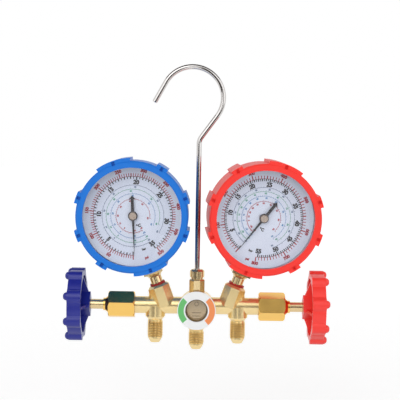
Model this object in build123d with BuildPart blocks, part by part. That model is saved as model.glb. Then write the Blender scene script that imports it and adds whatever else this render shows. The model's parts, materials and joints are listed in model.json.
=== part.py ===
"""Refrigerant manifold gauge: two bourdon-tube gauges on a brass two-valve manifold with a hook.

Millimetres. The origin is where the hook hangs: the inside top of its arc. +X is towards the
high-pressure side, -Y towards the user who reads the dials, +Z up. The low-pressure side (-X)
and the high-pressure side (+X) mirror each other about the hook's rod.
"""
import os
from math import cos, radians, sin, tan

from build123d import *

os.makedirs("parts", exist_ok=True)

# ---------------------------------------------------------------- driving dimensions
# hook
HOOK_WIRE_D = 4.0
HOOK_RADIUS = 23.4          # centreline of the round top
HOOK_OFFSET = 5.5           # rod axis, to the right of the arc's centre
HOOK_LEG_ANGLE = 151.0      # where the arc meets the straight leg of the tip
HOOK_TURN_ANGLE = -36.0     # where the arc meets the run back to the rod
HOOK_LEG = 17.5
HOOK_BEND_RADIUS = 9.0
HANG_HEIGHT = 180.8         # hanging point above the manifold's bar
CLIP_D = 7.2
CLIP_T = 0.8
CLIP_GROOVE_D = 3.0
CLIP_PLAY = 0.15            # between the clip and the cap nut
ROD_BELOW_CLIP = 2.0
HOOK_TIP_CHAMFER = 0.5

# swivel fitting of the hook
FITTING_AF = 11.7           # octagon, across flats
FITTING_FOOT = 10.2         # heights above the bar axis
FITTING_TOP = 20.4
FITTING_CHAMFER = 0.5
FITTING_FLOOR = 13.2
FITTING_SPIGOT_END = 24.6
FITTING_SPIGOT_D = 9.6
FITTING_BORE_D = 7.8
FITTING_STUD_D = 7.0
FITTING_STUD_L = 2.6
CAP_BASE = 22.3
CAP_TOP = 28.2
CAP_D = 11.4
CAP_ROOF = 3.2
CAP_SHOULDER = 1.4

# manifold forging
BAR_D = 13.2
BAR_HALF = 48.0
PORT_X = 31.7
PORT_BOTTOM = 28.5          # below the bar axis
PORT_SHOULDER_D = 15.3
PORT_SHOULDER_DROP = 8.4
PORT_SHOULDER_TAPER = 2.5
FLARE_D = 11.1              # 7/16-20 UNF
FLARE_NOSE_D = 7.4
FLARE_NOSE_L = 3.3
PORT_BORE_D = 4.8
CENTRE_PORT_BOTTOM = 33.4
CENTRE_SHOULDER_DROP = 16.2
RISER_D = 10.6              # the port's column, carried on above the bar to meet the boss
RISER_TOP = 11.6
PASSAGE_D = 3.2

# leaning gauge bosses
LEAN = 20.0                 # degrees from upright
BOSS_FOOT_X = 24.2          # where the boss axis meets the bar axis
BOSS_AF = 16.5              # octagon, across flats
BOSS_LENGTH = 17.0
BOSS_CHAMFER = 1.6
NPT_DEPTH = 9.8             # hole for the gauge's thread

# sight glass
SIGHT_DROP = 2.5            # its centre, below the bar axis
SIGHT_BODY_D = 28.2
SIGHT_FRONT = 9.7           # front face, in front of the bar axis
SIGHT_BACK = 8.6
SIGHT_BORE_D = 20.0
SIGHT_WINDOW_D = 17.2
SIGHT_CHAMBER_D = 15.0
SIGHT_LENS_T = 3.2
SIGHT_RING_T = 1.8
SIGHT_CHAMBER_BACK = 1.8    # chamber floor, behind the bar axis
LABEL_D = 29.4
LABEL_T = 0.6

# valves, measured outwards along the bar from the rod's plane
SEAT_S = 16.0
VALVE_BORE_D = 8.6
SEAT_DISC_L = 3.4
STEM_STUB_D = 3.6
STEM_STUB_L = 1.8
STEM_INNER_D = 6.0
STEM_D = 7.7
STEM_STEP_S = 57.0
SPIGOT_D = 14.6
SPIGOT_END_S = 59.5
NUT_AF = 19.0
NUT_START_S = 47.5
NUT_HEX_END_S = 67.7
NUT_CHAMFER = 1.3
NUT_CONE_D = 13.6
NUT_COLLAR_D = 9.8
NUT_CONE_L = 2.4
NUT_END_S = 71.6
PACKING_D = 12.0
PACKING_L = 4.2
LOW_NUT_TURN = 15.0         # how the hexagons happen to stand, degrees
HIGH_NUT_TURN = 17.6

# handwheels
WHEEL_S = 86.9              # rim's inner face
RIM_W = 10.3
WHEEL_LOBES = 8
WHEEL_D = 56.8
LOBE_R = 5.6
LOBE_RISE = 2.8             # lobes above the valleys between them
VALLEY_FILLET = 1.6
RIM_WALL = 3.6              # at a valley
PIP_R = 3.1                 # grip pips on the outer face
PIP_INSET = 0.35            # from the lobe's edge
PIP_H = 2.4
PIP_TAPER = 24.0            # degrees
WEB_T = 2.6
WEB_RECESS = 1.2            # web's outer face below the rim's
HUB_SIDE = 14.8
HUB_CORNER = 1.4
HUB_REACH = 5.2             # hub beyond the rim, towards the manifold
RIB_T = 2.2
RIB_BACK = 1.0              # below the rim's inner face, where a rib meets the rim
RIB_STEP = 0.6              # below the hub's end, where it meets the hub
SQUARE_DRIVE = 5.6
DRIVE_S = 88.2
SCREW_HEAD_D = 8.0
SCREW_HEAD_H = 2.2
SCREW_SLOT_W = 1.2
SCREW_D = 3.0
SCREW_L = 9.0
LOW_WHEEL_TURN = 21.3       # how the wheels happen to stand, degrees
HIGH_WHEEL_TURN = 30.9

# gauges
GAUGE_REACH = 73.5          # gauge centre from the bar axis, along the lean
LOW_GAUGE_TURN = 0.0        # about its own stem, degrees
HIGH_GAUGE_TURN = 4.0
BOOT_WALL = 2.15
BOOT_FRONT = 23.5           # in front of the stem axis
BOOT_BACK = 13.5            # behind it
BOOT_LIP = 3.0
BOOT_COVER = 3.0            # the lip's reach over the case's front
BOOT_BACK_LIP = 1.5
BOOT_BACK_COVER = 7.0
BOOT_CHAMFER = 1.2
LUG_HEIGHT = 2.2
LUG_INSET = 0.7             # lug's front, behind the boot's front face
LUG_ROOT = 1.0              # lug's foot, inside the boot's wall
WIDE_LUG = 35.0             # degrees round the boot
SMALL_LUG = 12.0
SMALL_LUG_ANGLES = (51.5, 90.0, 129.0, -51.5, -90.0, -129.0)
NOTCH_W = 2.4
NOTCH_H = 3.0
NOTCH_DEPTH = 3.0
NOTCH_FROM_EDGE = 0.8
CASE_D = 80.0
CASE_WALL = 1.2
LENS_T = 2.2
DIAL_FRONT = 7.9            # in front of the stem axis
DIAL_T = 0.5
DIAL_MARGIN = 0.4           # dial's edge to the case's wall
DIAL_HOLE_D = 4.0

# gauge socket
NECK_D = 9.4
WRENCH_W = 14.7
WRENCH_DEPTH = 14.0
WRENCH_END = 47.3           # lower end, below the gauge's centre
NECK_FLARE = 2.6            # cone between the neck and the wrench block
WRENCH_TOP = 36.4
BLOCK_W = 13.0
BLOCK_FRONT = 1.2
BLOCK_TOP = 23.0
SOCKET_BORE_D = 3.0
SOCKET_BORE_REACH = 9.4     # bore's end, above the wrench block
TUBE_ENTRY = 1.0            # trimmed beyond the tube's outside where it enters the block

# bourdon tube
TUBE_RADIUS = 28.5
TUBE_THICK = 3.0
TUBE_HEIGHT = 7.6
TUBE_FRONT = 0.8            # in front of the stem axis
TUBE_END_ANGLE = -10.0
TUBE_START_ANGLE = 262.0
TIP_SPAN = 7.0              # degrees
TIP_MARGIN = 0.5
TIP_ARM_T = 1.0
TIP_ARM_FRONT = 4.0
TIP_ARM_W = 3.6
TIP_EYE = (24.0, -8.0)      # where the link's end lies at rest

# movement
GEAR_MODULE = 0.4
PINION_TEETH = 10
SECTOR_TEETH = 90           # of a full circle
SECTOR_CUT_TEETH = 13
TOOTH_SHARE = 0.36          # tooth thickness as a share of the pitch
PINION_SHARE = 0.36
ADDENDUM = 0.9              # modules
DEDENDUM = 1.3
TIP_SHARE = 0.16
SECTOR_T = 1.0
SECTOR_INNER_R = 14.0
SECTOR_SPOKE_W = 2.4
SECTOR_HUB_D = 5.0
PINION_L = 1.6
TAIL_R = 7.5
TAIL_ANGLE = -60.0
PLATE_T = 1.0
PLATE_W = 19.0
PLATE_TOP = 9.0
FRONT_PLATE_FOOT = 25.5
REAR_PLATE_FOOT = 31.5
PLATE_CORNER = 3.0
PILLAR_D = 3.6
PILLAR_PLACES = ((-7.4, -22.2), (0.0, 6.4))
ARBOR_D = 1.6
SECTOR_ARBOR_D = 1.8
SECTOR_RISE = 1.2           # sector gear above the rear plate
PIN_D = 1.4
LINK_W = 2.0
LINK_EYE_D = 3.4
LINK_T = 0.8

# pointer
LOW_POINTER_ANGLE = 253.0   # at rest, from the dial's own +x
HIGH_POINTER_ANGLE = 251.5
POINTER_TIP = 30.8
POINTER_TAIL = 15.6
POINTER_T = 0.5
POINTER_HUB_D = 6.2
POINTER_GAP = 1.6           # blade above the dial
POINTER_W = 2.0
POINTER_BOSS_D = 7.2         # the blade's own round middle, under the hub
POINTER_HUB_H = 1.6
ARBOR_GRIP = 1.0            # arbor inside the hub
TAIL_W = 2.2
ARROW_L = 2.8
ARROW_W = 4.8

# clearances
SEATED = 0.05               # between seated pieces of one body
RUNNING = 0.05              # radial, shaft in hole
PLAY = 0.3                  # between neighbours that move past each other

# ---------------------------------------------------------------- derived places
ROD_X = HOOK_OFFSET
BAR_Z = -HANG_HEIGHT
BAR_CENTRE = Vector(ROD_X, 0, BAR_Z)
CASE_FRONT = BOOT_FRONT - BOOT_LIP - SEATED
CASE_BACK = BOOT_BACK - BOOT_BACK_LIP - SEATED
DIAL_BACK = DIAL_FRONT - DIAL_T
FRONT_PLATE_BACK = DIAL_BACK - PLATE_T
REAR_PLATE_BACK = BLOCK_FRONT
REAR_PLATE_FRONT = REAR_PLATE_BACK + PLATE_T
SECTOR_BACK = REAR_PLATE_FRONT + SECTOR_RISE
SECTOR_FRONT = SECTOR_BACK + SECTOR_T
POINTER_BACK = DIAL_FRONT + POINTER_GAP
PINION_R = GEAR_MODULE * PINION_TEETH / 2
SECTOR_R = GEAR_MODULE * SECTOR_TEETH / 2
SECTOR_PIVOT = (0.0, -(PINION_R + SECTOR_R))
LINK_BACK = max(SECTOR_FRONT + PLAY, TIP_ARM_FRONT + 2 * PLAY)
TAIL_EYE = (
    SECTOR_PIVOT[0] + TAIL_R * cos(radians(TAIL_ANGLE)),
    SECTOR_PIVOT[1] + TAIL_R * sin(radians(TAIL_ANGLE)),
)


def save(builder, name):
    """Label a finished piece and write it to its own file."""
    builder.part.label = name
    export_step(builder.part, f"parts/{name}.step")


def bar_level(height):
    """A horizontal plane on the rod's axis, at a height above the bar axis."""
    return Plane(origin=(ROD_X, 0, BAR_Z + height), x_dir=(1, 0, 0), z_dir=(0, 0, 1))


def valve_plane(side, s):
    """A plane square to the bar, s outwards from the rod; its normal points outwards."""
    return Plane(origin=(ROD_X + side * s, 0, BAR_Z), x_dir=(0, -1, 0), z_dir=(side, 0, 0))


def lean_direction(side):
    return Vector(side * sin(radians(LEAN)), 0, cos(radians(LEAN)))


def boss_plane(side, t):
    """A plane square to a gauge boss, t along its axis from the bar axis."""
    origin = BAR_CENTRE + Vector(side * BOSS_FOOT_X, 0, 0) + lean_direction(side) * t
    return Plane(origin=origin, x_dir=(0, -1, 0), z_dir=lean_direction(side))


def gauge_plane(side, turn):
    """The gauge's own frame: x right, y up its stem, z towards the user."""
    up = lean_direction(side)
    facing = Vector(sin(radians(turn)) * up.Z, -cos(radians(turn)), -sin(radians(turn)) * up.X)
    return Plane(origin=boss_plane(side, GAUGE_REACH).origin, x_dir=up.cross(facing), z_dir=facing)


def stem_plane(gauge, height):
    """A plane square to the gauge's stem, at a height above the gauge's centre."""
    return Plane(
        origin=gauge.from_local_coords((0, height, 0)), x_dir=gauge.x_dir, z_dir=gauge.y_dir
    )


def rod(plane, start, end, diameter, mode=Mode.ADD):
    """A round bar or hole along a plane's normal, between two levels."""
    with BuildSketch(plane.offset(start)) as section:
        Circle(diameter / 2)
    extrude(section.sketch, amount=end - start, mode=mode)


def turned(plane, *outline, mode=Mode.ADD):
    """A solid of revolution about a plane's normal; the outline is (radius, level) points."""
    half = Plane(origin=plane.origin, x_dir=plane.x_dir, z_dir=-plane.y_dir)
    with BuildSketch(half) as section:
        with BuildLine():
            Polyline(*outline, close=True)
        make_face()
    revolve(section.sketch, axis=Axis(plane.origin, plane.z_dir), mode=mode)


def block(plane, low, high, mode=Mode.ADD):
    """A rectangular block between two corners given in a plane's own frame."""
    centre = ((low[0] + high[0]) / 2, (low[1] + high[1]) / 2)
    with BuildSketch(plane.offset(low[2])) as section:
        with Locations(centre):
            Rectangle(high[0] - low[0], high[1] - low[1])
    extrude(section.sketch, amount=high[2] - low[2], mode=mode)


def sector(plane, start, end, inner, outer, angle, span, mode=Mode.ADD):
    """A stretch of a ring: angle is its middle and span its width, in degrees."""
    with BuildSketch(plane.offset(start)) as section:
        with BuildLine():
            low = angle - span / 2
            outside = CenterArc((0, 0), outer, low, span)
            inside = CenterArc((0, 0), inner, low, span)
            Line(outside @ 0, inside @ 0)
            Line(outside @ 1, inside @ 1)
        make_face()
    extrude(section.sketch, amount=end - start, mode=mode)


# ---------------------------------------------------------------- hook and its swivel
CLIP_TOP = CAP_TOP - CAP_ROOF - CLIP_PLAY
CLIP_BOTTOM = CLIP_TOP - CLIP_T


def make_hook_rod():
    centre = (0, HOOK_WIRE_D / 2 - HOOK_RADIUS)

    def on_arc(angle):
        return (
            centre[0] + HOOK_RADIUS * cos(radians(angle)),
            centre[1] + HOOK_RADIUS * sin(radians(angle)),
        )

    leg_end = on_arc(HOOK_LEG_ANGLE)
    tip = (
        leg_end[0] - HOOK_LEG * sin(radians(HOOK_LEG_ANGLE)),
        leg_end[1] + HOOK_LEG * cos(radians(HOOK_LEG_ANGLE)),
    )
    turn = on_arc(HOOK_TURN_ANGLE)
    elbow = (ROD_X, turn[1] + (turn[0] - ROD_X) / tan(radians(HOOK_TURN_ANGLE)))
    foot = (ROD_X, BAR_Z + CLIP_BOTTOM - ROD_BELOW_CLIP)
    with BuildPart() as hook_rod:
        with BuildLine(Plane.XZ) as path:
            Line(tip, leg_end)
            CenterArc(centre, HOOK_RADIUS, HOOK_LEG_ANGLE, HOOK_TURN_ANGLE - HOOK_LEG_ANGLE)
            FilletPolyline(turn, elbow, foot, radius=HOOK_BEND_RADIUS)
        wire = path.wire()
        with BuildSketch(Plane(origin=wire @ 0, z_dir=wire % 0)):
            Circle(HOOK_WIRE_D / 2)
        sweep(path=wire)
        ends = hook_rod.faces().filter_by(GeomType.PLANE).edges()
        chamfer(ends, HOOK_TIP_CHAMFER)
        turned(
            bar_level(0),
            (CLIP_GROOVE_D / 2, CLIP_BOTTOM - SEATED),
            (HOOK_WIRE_D, CLIP_BOTTOM - SEATED),
            (HOOK_WIRE_D, CLIP_TOP + SEATED),
            (CLIP_GROOVE_D / 2, CLIP_TOP + SEATED),
            mode=Mode.SUBTRACT,
        )
    return hook_rod


def make_retaining_clip():
    with BuildPart() as clip:
        rod(bar_level(0), CLIP_BOTTOM, CLIP_TOP, CLIP_D)
        rod(bar_level(0), CLIP_BOTTOM, CLIP_TOP, CLIP_GROOVE_D + 2 * SEATED, Mode.SUBTRACT)
        gap = CLIP_GROOVE_D / 2
        block(bar_level(0), (0, -gap / 2, CLIP_BOTTOM), (CLIP_D, gap / 2, CLIP_TOP), Mode.SUBTRACT)
    return clip


def make_hook_fitting():
    with BuildPart() as fitting:
        with BuildSketch(bar_level(FITTING_FOOT)):
            RegularPolygon(FITTING_AF / 2, 8, major_radius=False, rotation=22.5)
        extrude(amount=FITTING_TOP - FITTING_FOOT)
        ends = fitting.faces().filter_by(Axis.Z).edges()
        chamfer(ends, FITTING_CHAMFER)
        rod(bar_level(0), FITTING_FOOT - FITTING_STUD_L, FITTING_FOOT, FITTING_STUD_D)
        rod(bar_level(0), FITTING_TOP, FITTING_SPIGOT_END, FITTING_SPIGOT_D)
        rod(bar_level(0), FITTING_FLOOR, FITTING_SPIGOT_END, FITTING_BORE_D, Mode.SUBTRACT)
    return fitting


def make_cap_nut():
    inside = FITTING_SPIGOT_D / 2 + SEATED
    roof = CAP_TOP - CAP_ROOF
    with BuildPart() as cap:
        turned(
            bar_level(0),
            (inside, CAP_BASE),
            (CAP_D / 2, CAP_BASE),
            (CAP_D / 2, CAP_TOP - CAP_SHOULDER),
            (CAP_D / 2 - CAP_SHOULDER, CAP_TOP),
            (HOOK_WIRE_D / 2 + RUNNING, CAP_TOP),
            (HOOK_WIRE_D / 2 + RUNNING, roof),
            (inside, roof),
        )
    return cap


# ---------------------------------------------------------------- manifold
SIGHT_FLOOR = SIGHT_FRONT - SIGHT_LENS_T - SIGHT_RING_T


def sight_plane():
    """The sight glass's own frame: its normal points towards the user."""
    return Plane(origin=(ROD_X, 0, BAR_Z - SIGHT_DROP), x_dir=(1, 0, 0), z_dir=(0, -1, 0))


def port_plane(x):
    """A port's own frame: its normal points down the port, from the bar axis."""
    return Plane(origin=(ROD_X + x, 0, BAR_Z), x_dir=(1, 0, 0), z_dir=(0, 0, -1))


def flare_port(x, shoulder_drop, bottom):
    """A flare port: shoulder, thread and the coned nose that seals."""
    turned(
        port_plane(x),
        (0, 0),
        (PORT_SHOULDER_D / 2, 0),
        (PORT_SHOULDER_D / 2, shoulder_drop),
        (FLARE_D / 2, shoulder_drop + PORT_SHOULDER_TAPER),
        (FLARE_D / 2, bottom - FLARE_NOSE_L),
        (FLARE_NOSE_D / 2, bottom),
        (0, bottom),
    )


def make_manifold_body():
    with BuildPart() as body:
        rod(sight_plane(), -SIGHT_BACK, SIGHT_FRONT, SIGHT_BODY_D)
        flare_port(0, CENTRE_SHOULDER_DROP, CENTRE_PORT_BOTTOM)
        pad = SIGHT_BODY_D / 2
        block(bar_level(0), (-pad, -pad, FITTING_FOOT), (pad, pad, pad), Mode.SUBTRACT)
        for side in (-1, 1):
            rod(valve_plane(side, 0), 0, BAR_HALF, BAR_D)
            rod(valve_plane(side, 0), BAR_HALF, SPIGOT_END_S, SPIGOT_D)
            flare_port(side * PORT_X, PORT_SHOULDER_DROP, PORT_BOTTOM)
            rod(port_plane(side * PORT_X), -RISER_TOP, 0, RISER_D)
            with BuildSketch(boss_plane(side, 0)) as octagon:
                RegularPolygon(BOSS_AF / 2, 8, major_radius=False, rotation=22.5)
            extrude(octagon.sketch, amount=BOSS_LENGTH)
            top = body.faces().sort_by(Axis(boss_plane(side, 0).origin, lean_direction(side)))[-1]
            chamfer(top.edges(), BOSS_CHAMFER)
        # drilled and bored from here on
        cut = Mode.SUBTRACT
        stud_hole = FITTING_STUD_D + 2 * SEATED
        rod(bar_level(0), FITTING_FOOT - FITTING_STUD_L - SEATED, FITTING_FOOT, stud_hole, cut)
        rod(sight_plane(), SIGHT_FLOOR, SIGHT_FRONT, SIGHT_BORE_D + 2 * SEATED, cut)
        rod(sight_plane(), -SIGHT_CHAMBER_BACK, SIGHT_FLOOR, SIGHT_CHAMBER_D, cut)
        chamber_foot = SIGHT_DROP + SIGHT_CHAMBER_D / 2 - PASSAGE_D / 2
        rod(port_plane(0), chamber_foot, CENTRE_PORT_BOTTOM, PORT_BORE_D, cut)
        for side in (-1, 1):
            rod(valve_plane(side, 0), 0, SEAT_S, PASSAGE_D, cut)
            rod(valve_plane(side, 0), SEAT_S, SPIGOT_END_S, VALVE_BORE_D, cut)
            rod(port_plane(side * PORT_X), 0, PORT_BOTTOM, PORT_BORE_D, cut)
            thread_end = BOSS_LENGTH - NPT_DEPTH
            rod(boss_plane(side, 0), 0, thread_end, PASSAGE_D, cut)
            rod(boss_plane(side, 0), thread_end, BOSS_LENGTH, NECK_D + 2 * SEATED, cut)
    return body


def make_ring(plane, start, end, outer, inner):
    with BuildPart() as ring:
        rod(plane, start, end, outer)
        rod(plane, start, end, inner, Mode.SUBTRACT)
    return ring


def make_disc(plane, start, end, diameter):
    with BuildPart() as disc:
        rod(plane, start, end, diameter)
    return disc


# ---------------------------------------------------------------- valves
SEAT_FACE_S = SEAT_S + SEATED
SEAT_BACK_S = SEAT_FACE_S + SEAT_DISC_L
HUB_FACE_S = WHEEL_S + RIM_W - WEB_RECESS


def make_seat_disc(side):
    """A hexagonal seat: its corners run in the bore and the fluid passes its flats."""
    with BuildPart() as seat:
        along = valve_plane(side, 0)
        with BuildSketch(valve_plane(side, SEAT_FACE_S)):
            RegularPolygon(VALVE_BORE_D / 2 - RUNNING, 6)
        extrude(amount=SEAT_DISC_L)
        socket_d = STEM_STUB_D + 2 * RUNNING
        rod(along, SEAT_BACK_S - STEM_STUB_L - PLAY, SEAT_BACK_S, socket_d, Mode.SUBTRACT)
    return seat


def make_valve_stem(side):
    tail = HUB_FACE_S - PLAY
    shoulder = SEAT_BACK_S + SEATED
    with BuildPart() as stem:
        turned(
            valve_plane(side, 0),
            (0, SEAT_BACK_S - STEM_STUB_L),
            (STEM_STUB_D / 2, SEAT_BACK_S - STEM_STUB_L),
            (STEM_STUB_D / 2, shoulder),
            (STEM_INNER_D / 2, shoulder),
            (STEM_INNER_D / 2, STEM_STEP_S),
            (STEM_D / 2, STEM_STEP_S + (STEM_D - STEM_INNER_D) / 2),
            (STEM_D / 2, DRIVE_S),
            (0, DRIVE_S),
        )
        half = SQUARE_DRIVE / 2
        block(valve_plane(side, 0), (-half, -half, DRIVE_S), (half, half, tail))
        hole = SCREW_D + 2 * SEATED
        rod(valve_plane(side, 0), HUB_FACE_S - SCREW_L - PLAY, tail, hole, Mode.SUBTRACT)
    return stem


def make_packing_ring(side):
    return make_ring(
        valve_plane(side, 0),
        SPIGOT_END_S + SEATED,
        SPIGOT_END_S + SEATED + PACKING_L,
        PACKING_D,
        STEM_D + 2 * RUNNING,
    )


def make_bonnet_nut(side, turn):
    length = NUT_HEX_END_S - NUT_START_S
    edge = NUT_AF / 2 + NUT_CHAMFER / 4
    corner = NUT_AF / 2 + NUT_CHAMFER * 5 / 4
    along = valve_plane(side, 0)
    with BuildPart() as nut:
        with BuildSketch(valve_plane(side, NUT_START_S)):
            RegularPolygon(NUT_AF / 2, 6, major_radius=False, rotation=turn)
        extrude(amount=length)
        turned(
            valve_plane(side, NUT_START_S),
            (0, 0),
            (edge, 0),
            (corner, NUT_CHAMFER),
            (corner, length - NUT_CHAMFER),
            (edge, length),
            (0, length),
            mode=Mode.INTERSECT,
        )
        turned(
            along,
            (0, NUT_HEX_END_S),
            (NUT_CONE_D / 2, NUT_HEX_END_S),
            (NUT_COLLAR_D / 2, NUT_HEX_END_S + NUT_CONE_L),
            (NUT_COLLAR_D / 2, NUT_END_S),
            (0, NUT_END_S),
        )
        gland_end = SPIGOT_END_S + PACKING_L + 2 * SEATED
        rod(along, NUT_START_S, SPIGOT_END_S + SEATED, SPIGOT_D + 2 * SEATED, Mode.SUBTRACT)
        rod(along, SPIGOT_END_S, gland_end, PACKING_D + 2 * SEATED, Mode.SUBTRACT)
        rod(along, gland_end, NUT_END_S, STEM_D + 2 * RUNNING, Mode.SUBTRACT)
    return nut


def make_handwheel(side, turn):
    rim = valve_plane(side, WHEEL_S)
    lobe_ring = WHEEL_D / 2 - LOBE_R
    valley_r = WHEEL_D / 2 - LOBE_RISE
    bore_r = valley_r - RIM_WALL
    web_front = RIM_W - WEB_RECESS
    with BuildPart() as wheel:
        with BuildSketch(rim) as outline:
            Circle(valley_r)
            with PolarLocations(lobe_ring, WHEEL_LOBES, start_angle=turn):
                Circle(LOBE_R)
            fillet(outline.vertices(), VALLEY_FILLET)
            Circle(bore_r, mode=Mode.SUBTRACT)
        extrude(amount=RIM_W)
        rod(rim, web_front - WEB_T, web_front, 2 * bore_r + SEATED)
        hub_turn = turn + 180 / WHEEL_LOBES
        with BuildSketch(rim.offset(-HUB_REACH)) as hub:
            square = Rectangle(HUB_SIDE, HUB_SIDE, rotation=hub_turn)
            chamfer(square.vertices(), HUB_CORNER)
        extrude(hub.sketch, amount=HUB_REACH + web_front)
        for corner in (45, 135, 225, 315):
            angle = radians(hub_turn + corner)
            outwards = rim.x_dir * cos(angle) + rim.y_dir * sin(angle)
            lengthwise = Plane(
                origin=rim.origin, x_dir=outwards, z_dir=outwards.cross(rim.z_dir)
            )
            with BuildSketch(lengthwise) as rib:
                with BuildLine():
                    Polyline(
                        (0, web_front),
                        (0, RIB_STEP - HUB_REACH),
                        (HUB_SIDE / 2, RIB_STEP - HUB_REACH),
                        (bore_r, RIB_BACK),
                        (bore_r, web_front),
                        close=True,
                    )
                make_face()
            extrude(rib.sketch, amount=RIB_T / 2, both=True)
        with BuildSketch(rim.offset(RIM_W)) as pips:
            with PolarLocations(lobe_ring + LOBE_R - PIP_R - PIP_INSET, WHEEL_LOBES, turn):
                Circle(PIP_R)
        extrude(pips.sketch, amount=PIP_H, taper=PIP_TAPER)
        half = SQUARE_DRIVE / 2 + SEATED
        drive = DRIVE_S - WHEEL_S
        block(rim, (-half, -half, drive), (half, half, web_front), Mode.SUBTRACT)
        rod(rim, -HUB_REACH, drive + SEATED, STEM_D + 2 * SEATED, Mode.SUBTRACT)
    return wheel


def make_wheel_screw(side):
    with BuildPart() as screw:
        turned(
            valve_plane(side, HUB_FACE_S),
            (0, -SCREW_L),
            (SCREW_D / 2, -SCREW_L),
            (SCREW_D / 2, 0),
            (SCREW_HEAD_D / 2, 0),
            (SCREW_HEAD_D / 2, SCREW_HEAD_H),
            (0, SCREW_HEAD_H),
        )
        with BuildSketch(valve_plane(side, HUB_FACE_S + SCREW_HEAD_H)) as slot:
            Rectangle(SCREW_HEAD_D, SCREW_SLOT_W)
        extrude(slot.sketch, amount=-SCREW_HEAD_H / 2, mode=Mode.SUBTRACT)
    return screw


# ---------------------------------------------------------------- gauge shell
def make_boot(gauge):
    case_r = CASE_D / 2 + SEATED
    boot_r = case_r + BOOT_WALL
    aperture_r = CASE_D / 2 - BOOT_COVER
    back_hole_r = CASE_D / 2 - BOOT_BACK_COVER
    lip_back = BOOT_FRONT - BOOT_LIP
    with BuildPart() as boot:
        turned(
            gauge,
            (back_hole_r, -BOOT_BACK),
            (boot_r, -BOOT_BACK),
            (boot_r, BOOT_FRONT - BOOT_CHAMFER),
            (boot_r - BOOT_CHAMFER, BOOT_FRONT),
            (aperture_r, BOOT_FRONT),
            (aperture_r, lip_back),
            (case_r, lip_back),
            (case_r, BOOT_BACK_LIP - BOOT_BACK),
            (back_hole_r, BOOT_BACK_LIP - BOOT_BACK),
        )
        lugs = [(90.0, WIDE_LUG), (-90.0, WIDE_LUG)]
        lugs += [(angle - 90.0, SMALL_LUG) for angle in SMALL_LUG_ANGLES]
        lug_r = boot_r + LUG_HEIGHT
        lug_front = BOOT_FRONT - LUG_INSET
        lug_back = LUG_INSET - BOOT_BACK
        for angle, span in lugs:
            sector(gauge, lug_back, lug_front, boot_r - LUG_ROOT, lug_r, angle, span)
        with BuildSketch(gauge.offset(BOOT_FRONT)) as notches:
            for angle, span in lugs:
                notch_r = lug_r - NOTCH_FROM_EDGE - NOTCH_H / 2
                with PolarLocations(notch_r, 1, start_angle=angle):
                    Rectangle(NOTCH_H, NOTCH_W)
        extrude(notches.sketch, amount=-NOTCH_DEPTH, mode=Mode.SUBTRACT)
        half = WRENCH_W / 2 + PLAY
        depth = WRENCH_DEPTH / 2 + PLAY
        low = (-half, -2 * boot_r, -depth)
        block(gauge, low, (half, -boot_r / 2, depth), Mode.SUBTRACT)
    return boot


def make_case(gauge):
    case_r = CASE_D / 2
    inner_r = case_r - CASE_WALL
    with BuildPart() as case:
        rod(gauge, -CASE_BACK, CASE_FRONT, CASE_D)
        rod(gauge, CASE_WALL - CASE_BACK, CASE_FRONT, 2 * inner_r, Mode.SUBTRACT)
        half = WRENCH_W / 2 + SEATED
        depth = WRENCH_DEPTH / 2 + SEATED
        low = (-half, -CASE_D, -depth)
        block(gauge, low, (half, -CASE_D / 4, depth), Mode.SUBTRACT)
    return case


def make_dial(gauge):
    with BuildPart() as dial:
        rod(gauge, DIAL_BACK, DIAL_FRONT, CASE_D - 2 * CASE_WALL - 2 * DIAL_MARGIN)
        rod(gauge, DIAL_BACK, DIAL_FRONT, DIAL_HOLE_D, Mode.SUBTRACT)
    return dial


# ---------------------------------------------------------------- gauge mechanism
def make_socket(gauge):
    neck_end = -(GAUGE_REACH - BOSS_LENGTH + NPT_DEPTH - SEATED)
    half = WRENCH_DEPTH / 2
    with BuildPart() as socket:
        turned(
            stem_plane(gauge, 0),
            (0, neck_end),
            (NECK_D / 2, neck_end),
            (NECK_D / 2, -WRENCH_END - NECK_FLARE),
            (half, -WRENCH_END),
            (0, -WRENCH_END),
        )
        wide = WRENCH_W / 2
        block(gauge, (-wide, -WRENCH_END, -half), (wide, -WRENCH_TOP, half))
        narrow = BLOCK_W / 2
        block(gauge, (-narrow, -WRENCH_TOP, -half), (narrow, -BLOCK_TOP, BLOCK_FRONT))
        bore_end = SOCKET_BORE_REACH - WRENCH_TOP
        rod(stem_plane(gauge, 0), neck_end, bore_end, SOCKET_BORE_D, Mode.SUBTRACT)
    return socket


def make_bourdon_tube(gauge):
    span = TUBE_START_ANGLE - TUBE_END_ANGLE
    middle = (TUBE_START_ANGLE + TUBE_END_ANGLE) / 2
    inner = TUBE_RADIUS - TUBE_THICK / 2
    outer = TUBE_RADIUS + TUBE_THICK / 2
    low = TUBE_FRONT - TUBE_HEIGHT
    with BuildPart() as tube:
        sector(gauge, low, TUBE_FRONT, inner, outer, middle, span)
        corner = (-BLOCK_W / 2, -outer - TUBE_ENTRY, low)
        block(gauge, corner, (0, 0, TUBE_FRONT), Mode.SUBTRACT)
    return tube


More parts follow.
